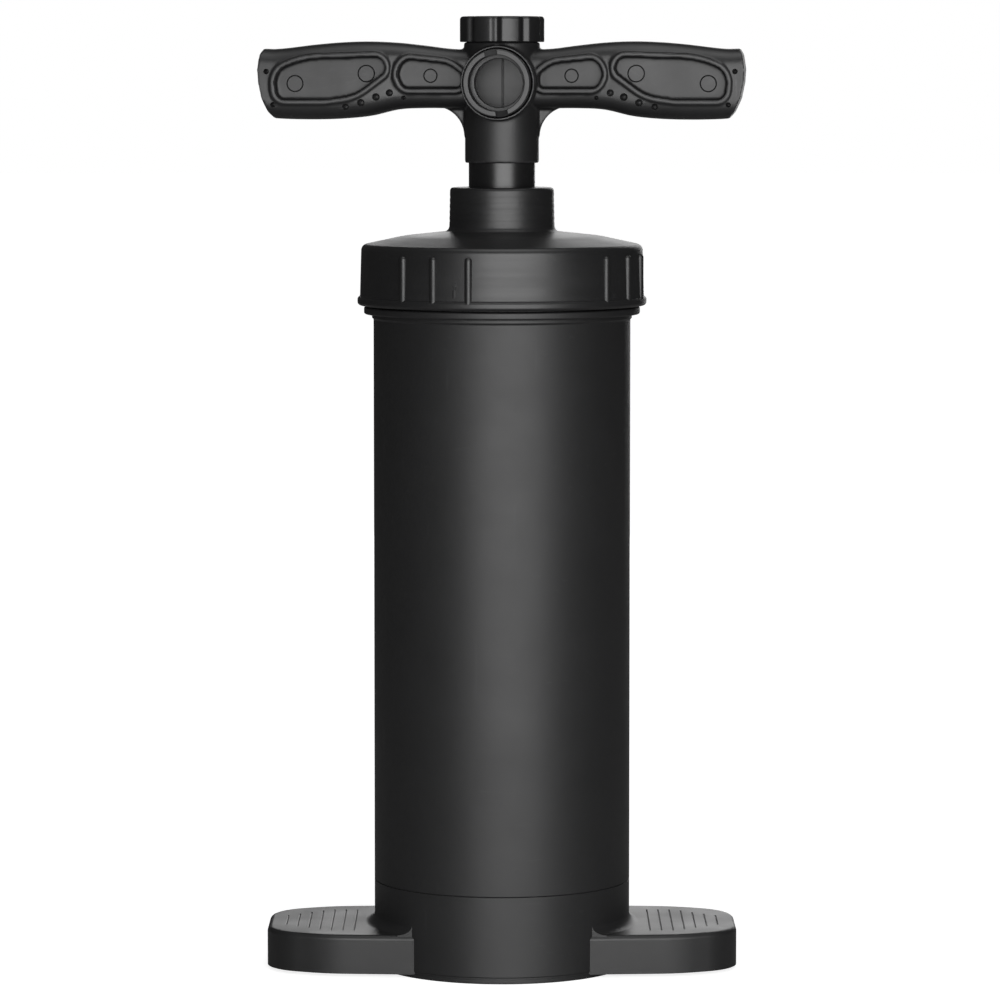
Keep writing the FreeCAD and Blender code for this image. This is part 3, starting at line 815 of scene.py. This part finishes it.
def makeBarrel():
    cut = barrel
    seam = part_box("barrel")[0][2] / mm + cut["seam"]
    tube = turned([(point.x, point.y + seam) for point in rounded(cut["outline"], 5)], 224)
    root, tip = cut["threadRoot"], cut["threadRadius"]
    for height in cut["threadHeights"]:
        middle = seam + height
        thread = [
            (root, middle - cut["threadFootHalf"]),
            (tip, middle - cut["threadTipHalf"]),
            (tip, middle + cut["threadTipHalf"]),
            (root, middle + cut["threadFootHalf"]),
        ]
        combine(tube, turned(thread, 224), "UNION")
    return finishPiece(tube, "barrelTube", "pump_body", ["barrel"], 32)


makeBarrel()
print("barrel made")

# foot base

base = {
    # plan corners (x, y, radius) of one quarter; the other three mirror it
    "plan": [(118.8, 32.0, 25), (88.0, 44.5, 60)],
    "planMiddle": 50.5,
    "under": 1.8,
    "plateTop": 21.4,
    "edgeRound": 2.6,
    "flare": 5.0,
    "flareInset": 0.9,
    "skirtSink": 3,
    "clearRadius": 62.0,
    "radius": 64.8,
    # the cup: radius, height, corner radius, from its floor out and round under its foot ring
    "cup": [
        (0, 8),
        (0, 12),
        (60.8, 12),
        (60.8, 28),
        (63.4, 28),
        (63.4, 43.5),
        (64.68, 43.5, 0.05),
        (64.8, 43.35),
        (64.8, 3.4, 0.2),
        (64.5, 3.0, 0.1),
        (64.5, 2.4, 0.1),
        (64.8, 2.0, 0.2),
        (64.8, 0, 0.5),
        (60.8, 0, 0.5),
        (60.8, 8),
    ],
    "treads": 7,
    "firstTread": 74.6,
    "treadStep": 5.8,
    "treadHalfWidth": 0.75,
    "treadDepth": 0.4,
    "treadRise": 0.2,
    "treadReach": 31.0,
    "treadTaperStart": 88.0,
    "treadTaper": 0.8,
}


def footOutline(cut):
    right = [(x, -y, r) for x, y, r in reversed(cut["plan"])] + cut["plan"]
    left = [(-x, -y, r) for x, y, r in right]
    return rounded([(0, -cut["planMiddle"])] + right + [(0, cut["planMiddle"])] + left, 10)


def treadCutters(cut):
    # three-cornered strips laid front to back
    strips, top = [], cut["plateTop"]
    half, deep = cut["treadHalfWidth"], cut["treadDepth"]
    for side in (1, -1):
        for i in range(cut["treads"]):
            x = cut["firstTread"] + cut["treadStep"] * i
            reach = cut["treadReach"] - cut["treadTaper"] * max(0, x - cut["treadTaperStart"])
            high = top + cut["treadRise"]
            corners = [(side * x - half, high), (side * x, top - deep), (side * x + half, high)]
            strips.append(prism(corners, -reach, reach))
    return joinPieces(strips)


def makeSkirt(cut, outline):
    # the hollow curve where the feet's tops run up to the cup, kept within the feet's outline
    radius, top, flare = cut["radius"], cut["plateTop"], cut["flare"]
    inner, low, steps = cut["clearRadius"] + 0.5, top - cut["skirtSink"], 10
    sweep = [
        (radius + flare * (1 - math.sin(turn)), top + flare * (1 - math.cos(turn)))
        for turn in (math.pi / 2 * k / steps for k in range(steps + 1))
    ]
    skirt = turned([(inner, low), (radius + flare, low)] + sweep + [(inner, top + flare)], 224)
    return combine(skirt, prism(grown(outline, -cut["flareInset"]), 5, 40, upright=True), "INTERSECT")


def makeFootBase():
    cut = base
    outline, top, clear = footOutline(cut), cut["plateTop"], cut["clearRadius"]
    plate = prism(outline, cut["under"], top, upright=True)
    editAll(plate)
    pick(plate, "EDGE", lambda e: all(v.co.z > top - 0.01 for v in e.verts))
    bpy.ops.mesh.bevel(offset=cut["edgeRound"], segments=6, profile=0.5)
    bpy.ops.object.mode_set(mode="OBJECT")
    skirt = makeSkirt(cut, outline)
    combine(plate, turned([(0, -5), (clear, -5), (clear, 60), (0, 60)], 128))
    combine(plate, turned([tuple(point) for point in rounded(cut["cup"], 4)], 224), "UNION")
    combine(plate, skirt, "UNION")
    combine(plate, treadCutters(cut))
    return finishPiece(plate, "footBase", "pump_body", ["foot_base"], 30)


makeFootBase()
print("foot base made")

# finishes


def newGroup(name, inputs, outputs):
    group = bpy.data.node_groups.new(name, "ShaderNodeTree")
    for label, value in inputs:
        socket = group.interface.new_socket(label, in_out="INPUT", socket_type="NodeSocketFloat")
        socket.default_value = value
    for label in outputs:
        group.interface.new_socket(label, in_out="OUTPUT", socket_type="NodeSocketFloat")
    return group, group.nodes.new("NodeGroupInput"), group.nodes.new("NodeGroupOutput")


def addNode(tree, kind, settings=None, **values):
    node = tree.nodes.new(kind)
    for key, value in (settings or {}).items():
        setattr(node, key, value)
    for key, value in values.items():
        node.inputs[key.replace("_", " ")].default_value = value
    return node


def mathNode(tree, operation, first, second):
    node = addNode(tree, "ShaderNodeMath", {"operation": operation})
    for socket, value in zip(node.inputs, (first, second)):
        if isinstance(value, (int, float)):
            socket.default_value = value
        else:
            tree.links.new(value, socket)
    return node.outputs[0]


def stretch(tree, value, low, high, newLow=0.0, newHigh=1.0):
    node = addNode(tree, "ShaderNodeMapRange", From_Min=low, From_Max=high, To_Min=newLow, To_Max=newHigh)
    tree.links.new(value, node.inputs["Value"])
    return node.outputs["Result"]


def objectNoise(tree, scale, detail, squeeze=(1, 1, 1)):
    place = tree.nodes.new("ShaderNodeTexCoord").outputs["Object"]
    mapping = addNode(tree, "ShaderNodeMapping", Scale=squeeze)
    tree.links.new(place, mapping.inputs["Vector"])
    noise = addNode(tree, "ShaderNodeTexNoise", Detail=detail)
    tree.links.new(mapping.outputs[0], noise.inputs["Vector"])
    if isinstance(scale, (int, float)):
        noise.inputs["Scale"].default_value = scale
    else:
        tree.links.new(scale, noise.inputs["Scale"])
    return noise.outputs["Fac"]


def makeGrainGroup():
    # spark-eroded mould texture: fine pebbles with a slower orange peel under them
    inputs = [("Pebbles per metre", 2600), ("Pebble height", 1), ("Peel height", 1)]
    group, source, result = newGroup("mouldGrain", inputs, ["Height", "Spread"])
    fine = objectNoise(group, source.outputs["Pebbles per metre"], 2.0)
    peel = objectNoise(group, 160.0, 1.0)
    raised = mathNode(group, "MULTIPLY", fine, source.outputs["Pebble height"])
    rolled = mathNode(group, "MULTIPLY", peel, source.outputs["Peel height"])
    group.links.new(mathNode(group, "ADD", raised, rolled), result.inputs["Height"])
    group.links.new(stretch(group, fine, 0.3, 0.7), result.inputs["Spread"])
    return group


def makeDriftGroup():
    # slow cloudiness of the colour and of the gloss, with faint upright flow marks
    inputs = [("Clouds per metre", 14), ("Flow", 0.3)]
    group, source, result = newGroup("flowDrift", inputs, ["Tone", "Gloss"])
    cloud = objectNoise(group, source.outputs["Clouds per metre"], 3.0)
    flow = objectNoise(group, 60.0, 2.0, (1, 1, 0.06))
    mixed = mathNode(group, "ADD", cloud, mathNode(group, "MULTIPLY", flow, source.outputs["Flow"]))
    group.links.new(stretch(group, mixed, 0.35, 0.95), result.inputs["Tone"])
    group.links.new(stretch(group, objectNoise(group, 38.0, 4.0), 0.3, 0.7), result.inputs["Gloss"])
    return group


def makeWearGroup():
    # edges painted paler, partly real rubbed wear and partly a painted highlight along convex edges, broken
    # up so that they are never one even line
    group, source, result = newGroup("edgeWear", [("Amount", 0.5), ("Reach", 0.04)], ["Wear"])
    pointed = group.nodes.new("ShaderNodeNewGeometry").outputs["Pointiness"]
    over = mathNode(group, "SUBTRACT", pointed, 0.51)  # a flat face reads 0.5
    edge = mathNode(group, "DIVIDE", over, source.outputs["Reach"])
    patchy = stretch(group, objectNoise(group, 240.0, 4.0), 0.38, 0.62)
    wearAndHighlight = mathNode(group, "MULTIPLY", mathNode(group, "MULTIPLY", edge, patchy), source.outputs["Amount"])
    group.links.new(stretch(group, wearAndHighlight, 0, 1), result.inputs["Wear"])
    return group


def makeScuffGroup():
    # hairline rubs from handling, in two directions
    group, source, result = newGroup("handlingRubs", [("Amount", 0.2)], ["Rub"])
    across = objectNoise(group, 300.0, 2.0, (0.08, 1, 1.6))
    along = objectNoise(group, 260.0, 2.0, (1, 1, 0.07))
    both = mathNode(group, "MAXIMUM", stretch(group, across, 0.66, 0.74), stretch(group, along, 0.67, 0.75))
    place = stretch(group, objectNoise(group, 22.0, 2.0), 0.5, 0.66)
    rub = mathNode(group, "MULTIPLY", mathNode(group, "MULTIPLY", both, place), source.outputs["Amount"])
    group.links.new(rub, result.inputs["Rub"])
    return group


def makeTurnGroup():
    # fine level lines left round a turned mould
    group, source, result = newGroup("turningLines", [("Amount", 1)], ["Height", "Gloss"])
    lines = objectNoise(group, 1100.0, 3.0, (0.012, 0.012, 1))
    bands = objectNoise(group, 260.0, 2.0, (0.02, 0.02, 1))
    finer, broader = mathNode(group, "MULTIPLY", lines, 0.6), mathNode(group, "MULTIPLY", bands, 0.8)
    mixed = mathNode(group, "ADD", finer, broader)
    group.links.new(mathNode(group, "MULTIPLY", mixed, source.outputs["Amount"]), result.inputs["Height"])
    group.links.new(stretch(group, bands, 0.35, 0.65), result.inputs["Gloss"])
    return group


groups = {
    "grain": makeGrainGroup(),
    "drift": makeDriftGroup(),
    "wearAndHighlight": makeWearGroup(),
    "rubs": makeScuffGroup(),
    "lines": makeTurnGroup(),
}


def placeGroup(tree, key, **values):
    node = tree.nodes.new("ShaderNodeGroup")
    node.node_tree = groups[key]
    for label, value in values.items():
        node.inputs[label.replace("_", " ")].default_value = value
    return node


def mixColours(tree, factor, first, second):
    node = addNode(tree, "ShaderNodeMix", {"data_type": "RGBA"})
    tree.links.new(factor, node.inputs["Factor"])
    colourInputs = [socket for socket in node.inputs if socket.type == "RGBA"]
    for socket, value in zip(colourInputs, (first, second)):
        if isinstance(value, tuple):
            socket.default_value = (*value, 1)
        else:
            tree.links.new(value, socket)
    return [socket for socket in node.outputs if socket.type == "RGBA"][0]


# base colours, range of roughness, and the strength of turning lines, orange peel, wear with its painted edge
# highlight, and rubs
finishes = {
    "barrelSatin": {
        "dark": 0.0082, "pale": 0.011, "paleWearAndHighlight": 0.04, "rough": (0.49, 0.55),
        "lines": 0.15, "peel": 0.8,
    },
    "baseSatin": {
        "dark": 0.0082, "pale": 0.0115, "paleWearAndHighlight": 0.045, "rough": (0.44, 0.52),
        "lines": 0.0, "peel": 1.0,
    },
    "capSatin": {
        "dark": 0.0082, "pale": 0.011, "paleWearAndHighlight": 0.04, "rough": (0.38, 0.47),
        "lines": 1.0, "peel": 0.5,
    },
    # only the handle gets pale edges, part real wear and part painted highlight
    "handleSatin": {
        "dark": 0.0082, "pale": 0.0115, "paleWearAndHighlight": 0.045, "rough": (0.40, 0.49),
        "lines": 0.0, "peel": 1.0, "wearAndHighlight": 0.6,
    },
    "portSatin": {
        "dark": 0.010, "pale": 0.014, "paleWearAndHighlight": 0.05, "rough": (0.38, 0.46),
        "lines": 0.5, "peel": 0.4,
    },
    "knobSatin": {
        "dark": 0.0082, "pale": 0.011, "paleWearAndHighlight": 0.045, "rough": (0.36, 0.44),
        "lines": 0.2, "peel": 0.5,
    },
    "rodGloss": {
        "dark": 0.006, "pale": 0.008, "paleWearAndHighlight": 0.02, "rough": (0.26, 0.33),
        "lines": 0.4, "peel": 0.2, "rub": 0.3,
    },
    "bushNylon": {
        "dark": 0.020, "pale": 0.026, "paleWearAndHighlight": 0.07, "rough": (0.40, 0.48),
        "lines": 0.6, "peel": 0.4,
    },
    "pistonNylon": {
        "dark": 0.018, "pale": 0.024, "paleWearAndHighlight": 0.06, "rough": (0.42, 0.50),
        "lines": 0.5, "peel": 0.5,
    },
}


def newMaterial(name):
    material = bpy.data.materials.new(name)
    material.use_nodes = True
    return material, material.node_tree, material.node_tree.nodes["Principled BSDF"]


def addBump(tree, shader, height, strength, distance):
    bump = addNode(tree, "ShaderNodeBump", Strength=strength, Distance=distance)
    tree.links.new(height, bump.inputs["Height"])
    tree.links.new(bump.outputs["Normal"], shader.inputs["Normal"])


def makePlastic(name, values):
    material, tree, shader = newMaterial(name)
    shader.inputs["Specular IOR Level"].default_value = 0.62
    drift = placeGroup(tree, "drift")
    wearAndHighlight = placeGroup(tree, "wearAndHighlight", Amount=values.get("wearAndHighlight", 0.0))
    rubs = placeGroup(tree, "rubs", Amount=values.get("rub", 0.25))
    grain = placeGroup(tree, "grain", Peel_height=values["peel"])
    lines = placeGroup(tree, "lines", Amount=values["lines"])
    tint = (1.0, 1.0, 1.04)
    dark, pale, paleWearAndHighlight = (tuple(values[key] * part for part in tint) for key in ("dark", "pale", "paleWearAndHighlight"))
    colour = mixColours(tree, drift.outputs["Tone"], dark, pale)
    # the pale colour marks rubs and worn edges, and on convex edges it also stands in for a painted highlight
    marks = mathNode(tree, "MAXIMUM", wearAndHighlight.outputs["Wear"], rubs.outputs["Rub"])
    tree.links.new(mixColours(tree, marks, colour, paleWearAndHighlight), shader.inputs["Base Color"])
    lineGloss = mathNode(tree, "MULTIPLY", lines.outputs["Gloss"], values["lines"])
    gloss = mathNode(tree, "ADD", drift.outputs["Gloss"], lineGloss)
    rough = stretch(tree, gloss, 0.0, 1.0 + values["lines"], *values["rough"])
    tree.links.new(rough, shader.inputs["Roughness"])
    height = mathNode(tree, "ADD", grain.outputs["Height"], lines.outputs["Height"])
    addBump(tree, shader, height, 0.5, 0.00006)
    return material


def makeRubber(name, dark, pale, rough):
    material, tree, shader = newMaterial(name)
    shader.inputs["Specular IOR Level"].default_value = 0.35
    drift = placeGroup(tree, "drift", Clouds_per_metre=60.0)
    grain = placeGroup(tree, "grain", Pebbles_per_metre=1800.0)
    tree.links.new(mixColours(tree, drift.outputs["Tone"], dark, pale), shader.inputs["Base Color"])
    roughness = stretch(tree, grain.outputs["Spread"], 0, 1, rough - 0.06, rough + 0.06)
    tree.links.new(roughness, shader.inputs["Roughness"])
    addBump(tree, shader, grain.outputs["Height"], 0.6, 0.00008)
    return material


def makeSteel(name, dark, pale):
    material, tree, shader = newMaterial(name)
    shader.inputs["Metallic"].default_value = 1.0
    drift = placeGroup(tree, "drift", Clouds_per_metre=120.0)
    lines = placeGroup(tree, "lines", Amount=0.8)
    tree.links.new(mixColours(tree, drift.outputs["Tone"], dark, pale), shader.inputs["Base Color"])
    tree.links.new(stretch(tree, lines.outputs["Gloss"], 0, 1, 0.24, 0.38), shader.inputs["Roughness"])
    addBump(tree, shader, lines.outputs["Height"], 0.4, 0.00005)
    return material


materials = {name: makePlastic(name, values) for name, values in finishes.items()}
materials["blackRubber"] = makeRubber("blackRubber", (0.010, 0.010, 0.010), (0.016, 0.016, 0.016), 0.72)
materials["flapRubber"] = makeRubber("flapRubber", (0.020, 0.019, 0.018), (0.030, 0.028, 0.027), 0.62)
materials["screwSteel"] = makeSteel("screwSteel", (0.42, 0.42, 0.43), (0.56, 0.56, 0.57))

# new pieces and CAD nodes by finish
wearers = {
    "handleSatin": ["handleMoulding", "handle"],
    "portSatin": ["frontPortRing", "rearPortRing", "airWall", "front_port", "rear_port", "air_divider"],
    "knobSatin": ["ventKnob", "vent_cap"],
    "capSatin": ["screwCapShell", "screw_cap"],
    "barrelSatin": ["barrelTube", "barrel"],
    "baseSatin": ["footBase", "foot_base"],
    "rodGloss": ["piston_rod"],
    "bushNylon": ["inner_tube", "rod_bush", "seal_retainer"],
    "pistonNylon": ["piston_bottom", "piston_middle", "piston_top"],
    "screwSteel": ["piston_screws"],
    "flapRubber": ["suction_flap_low", "suction_flap_high", "pressure_flap_low", "pressure_flap_high"],
    "blackRubber": [
        "base_gasket",
        "floor_buffer",
        "cap_gasket",
        "rod_seal",
        "stop_ring",
        "piston_seal",
        "vent_washer",
    ],
}


def dress(finish, names):
    for name in names:
        piece = frame["nodes"][name] if name in frame["nodes"] else bpy.data.objects[name]
        piece.data.materials.clear()
        piece.data.materials.append(materials[finish])


for finish, names in wearers.items():
    dress(finish, names)
print("finishes made")

# camera, lamps and floor

studio = {
    "lens": 178.0,
    "sensorWidth": 36,
    "clip": (0.1, 60),
    "cameraPlace": (-0.001, -2.494, 0.451),
    "cameraTilt": 85.08,
    "aim": (0, 0, 0.25),
    # azimuth from the front towards +X, height, distance, width, height of the lamp, power
    "lamps": {
        "frontSoftbox": (7, 0.62, 2.2, 2.4, 1.2, 42),
        "lowSoftbox": (6, 0.13, 1.1, 1.2, 0.22, 2.2),
        "rearSoftbox": (172, 0.7, 2.2, 1.2, 1.3, 11),
        "topSoftbox": (20, 2.4, 0.4, 1.5, 1.5, 14),
    },
    "roomLight": 0.05,
    "floorSize": 40,
    "floorColour": 0.30,
    "floorRoughness": 0.9,
    "shadowDepth": 0.6,
    "glowReach": (0.35, 1.6),
    "floorGlow": (0.82, 1.0),
}


def makeCamera():
    data = bpy.data.cameras.new("studioCamera")
    camera = bpy.data.objects.new("studioCamera", data)
    bpy.context.scene.collection.objects.link(camera)
    data.lens, data.sensor_width = studio["lens"], studio["sensorWidth"]
    data.clip_start, data.clip_end = studio["clip"]
    camera.location = studio["cameraPlace"]
    camera.rotation_euler = (math.radians(studio["cameraTilt"]), 0, 0)
    bpy.context.scene.camera = camera


def makeLamp(name, azimuth, height, distance, width, tall, power):
    data = bpy.data.lights.new(name, "AREA")
    data.shape, data.size, data.size_y, data.energy = "RECTANGLE", width, tall, power
    lamp = bpy.data.objects.new(name, data)
    bpy.context.scene.collection.objects.link(lamp)
    angle = math.radians(azimuth)
    lamp.location = (distance * math.sin(angle), -distance * math.cos(angle), height)
    lamp.rotation_euler = (Vector(studio["aim"]) - lamp.location).to_track_quat("-Z", "Y").to_euler()
    lamp.visible_camera = False


def seenMix(tree, seen, unseen, output):
    # camera rays get the first shader, all others the second
    path = tree.nodes.new("ShaderNodeLightPath")
    mix = tree.nodes.new("ShaderNodeMixShader")
    tree.links.new(path.outputs["Is Camera Ray"], mix.inputs[0])
    tree.links.new(unseen, mix.inputs[1])
    tree.links.new(seen, mix.inputs[2])
    tree.links.new(mix.outputs[0], output.inputs["Surface"])


def makeFloor():
    # seen by the camera it is white, with a soft shadow near the pump; to other rays it is grey
    deselect()
    bpy.ops.mesh.primitive_plane_add(size=studio["floorSize"])
    floor = bpy.context.active_object
    floor.name = "studioFloor"
    material, tree, shader = newMaterial("paleFloor")
    shader.inputs["Base Color"].default_value = (studio["floorColour"],) * 3 + (1,)
    shader.inputs["Roughness"].default_value = studio["floorRoughness"]
    pale = addNode(tree, "ShaderNodeBsdfDiffuse", Color=(studio["shadowDepth"],) * 3 + (1,))
    place = tree.nodes.new("ShaderNodeTexCoord").outputs["Object"]
    away = addNode(tree, "ShaderNodeVectorMath", {"operation": "LENGTH"})
    tree.links.new(place, away.inputs[0])
    glow = tree.nodes.new("ShaderNodeEmission")
    strength = stretch(tree, away.outputs["Value"], *studio["glowReach"], *studio["floorGlow"])
    tree.links.new(strength, glow.inputs["Strength"])
    total = tree.nodes.new("ShaderNodeAddShader")
    tree.links.new(pale.outputs[0], total.inputs[0])
    tree.links.new(glow.outputs[0], total.inputs[1])
    seenMix(tree, total.outputs[0], shader.outputs[0], tree.nodes["Material Output"])
    floor.data.materials.append(material)


def makeWorld():
    world = bpy.data.worlds.new("studioWorld")
    bpy.context.scene.world = world
    world.use_nodes = True
    tree = world.node_tree
    tree.nodes.clear()
    output = tree.nodes.new("ShaderNodeOutputWorld")
    white = addNode(tree, "ShaderNodeBackground", Color=(1, 1, 1, 1), Strength=1.0)
    room = addNode(tree, "ShaderNodeBackground", Color=(1, 1, 1, 1), Strength=studio["roomLight"])
    seenMix(tree, white.outputs[0], room.outputs[0], output)


makeCamera()
makeFloor()
makeWorld()
for name, values in studio["lamps"].items():
    makeLamp(name, *values)
bpy.context.scene.view_settings.view_transform = "Standard"
print("studio made")
